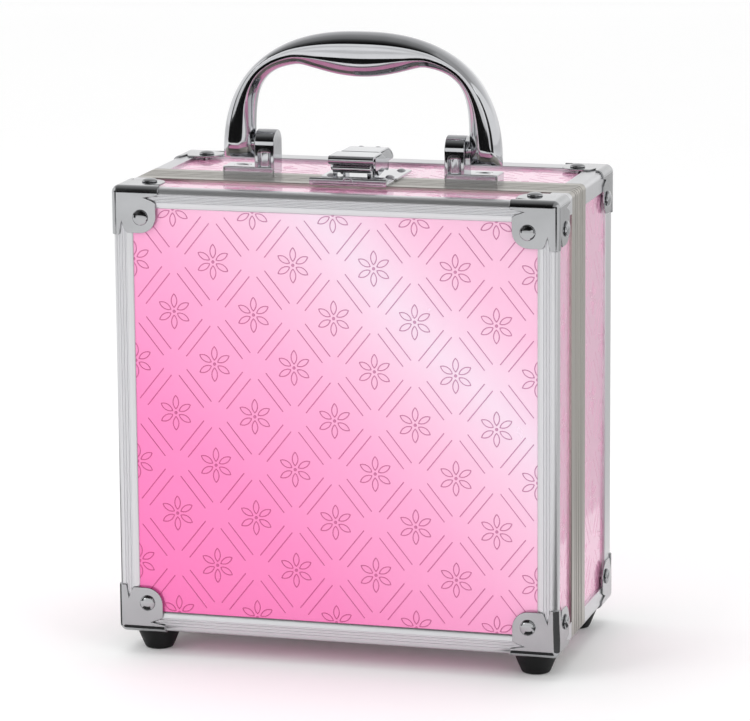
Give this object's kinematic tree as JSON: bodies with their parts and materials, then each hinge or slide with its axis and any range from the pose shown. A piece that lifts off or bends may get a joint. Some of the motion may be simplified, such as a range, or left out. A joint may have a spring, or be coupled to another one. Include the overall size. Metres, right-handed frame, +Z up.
{
  "type": "makeup storage case",
  "caption": "Hard square makeup case with metal trims and corner covers, a lid hinged along the bottom, a draw latch and a folding bow handle on top.",
  "frame": {"origin": "centre of the case's outline, on the surface that the feet stand on", "axes": "+X to the right seen from the front, +Y from the lid's face to the back, +Z up towards the handle"},
  "size_m": [0.2048, 0.1128, 0.276],
  "materials": {
    "sheet": "glossy metallic pink sheet with an embossed diamond lattice",
    "board": "bare fibreboard",
    "trim": "satin, ribbed",
    "corner": "bright nickel plate",
    "foot": "black, slightly glossy",
    "hinge": "plated",
    "handle": "polished",
    "latch": "polished",
    "lining": "black flocked cloth",
    "mirror": "silvered glass"
  },
  "bodies": {
    "base": {"base_face_sheet": "sheet", "base_wall_sheets": "sheet", "base_face_board": "board", "base_top_board": "board", "base_bottom_board": "board", "base_left_board": "board", "base_right_board": "board", "base_face_trim": "trim", "base_edge_angles": "trim", "base_rim": "trim", "base_corner_top_left": "corner", "base_corner_top_right": "corner", "base_corner_bottom_left": "corner", "base_corner_bottom_right": "corner", "base_corner_rivets": "corner", "foot_rear_left": "foot", "foot_rear_right": "foot", "hinge_leaf_left": "hinge", "hinge_leaf_right": "hinge", "hinge_pins": "hinge", "base_hinge_rivets": "hinge", "rear_foot_screws": "hinge", "handle_bracket_left": "handle", "handle_bracket_right": "handle", "handle_bracket_screws": "handle", "latch_base": "latch", "latch_base_rivets": "latch", "latch_lever_pin": "latch", "base_lining": "lining"},
    "lid": {"lid_face_sheet": "sheet", "lid_wall_sheets": "sheet", "lid_face_board": "board", "lid_top_board": "board", "lid_bottom_board": "board", "lid_left_board": "board", "lid_right_board": "board", "lid_face_trim": "trim", "lid_edge_angles": "trim", "lid_rim": "trim", "lid_corner_top_left": "corner", "lid_corner_top_right": "corner", "lid_corner_bottom_left": "corner", "lid_corner_bottom_right": "corner", "lid_corner_rivets": "corner", "foot_front_left": "foot", "foot_front_right": "foot", "lid_hinge_leaves": "hinge", "lid_hinge_rivets": "hinge", "front_foot_screws": "hinge", "latch_strike": "latch", "latch_strike_rivets": "latch", "lid_lining": "lining", "mirror": "mirror"},
    "handle": {"handle_bow": "handle", "handle_pins": "handle"},
    "latch_lever": {"latch_lever": "latch"},
    "latch_claw": {"latch_claw": "latch", "latch_claw_pin": "latch"}
  },
  "joints": [
    {"name": "lid_hinge", "type": "hinge", "parent": "base", "child": "lid", "pos_m": [0, -0.013, 0.0081], "axis": [1, 0, 0], "range_deg": [0, 100]},
    {"name": "handle_pivot", "type": "hinge", "parent": "base", "child": "handle", "pos_m": [0, -0.0047, 0.225], "axis": [1, 0, 0], "range_deg": [-90, 90]},
    {"name": "latch_lever_pivot", "type": "hinge", "parent": "base", "child": "latch_lever", "pos_m": [0, -0.0075, 0.216], "axis": [1, 0, 0], "range_deg": [0, 110]},
    {"name": "latch_claw_pivot", "type": "hinge", "parent": "latch_lever", "child": "latch_claw", "pos_m": [0, 0.0005, 0.216], "axis": [1, 0, 0], "range_deg": [-110, 0]}
  ],
  "couplings": [
    {"joint": "latch_claw_pivot", "follows": "latch_lever_pivot", "ratio": -1}
  ]
}
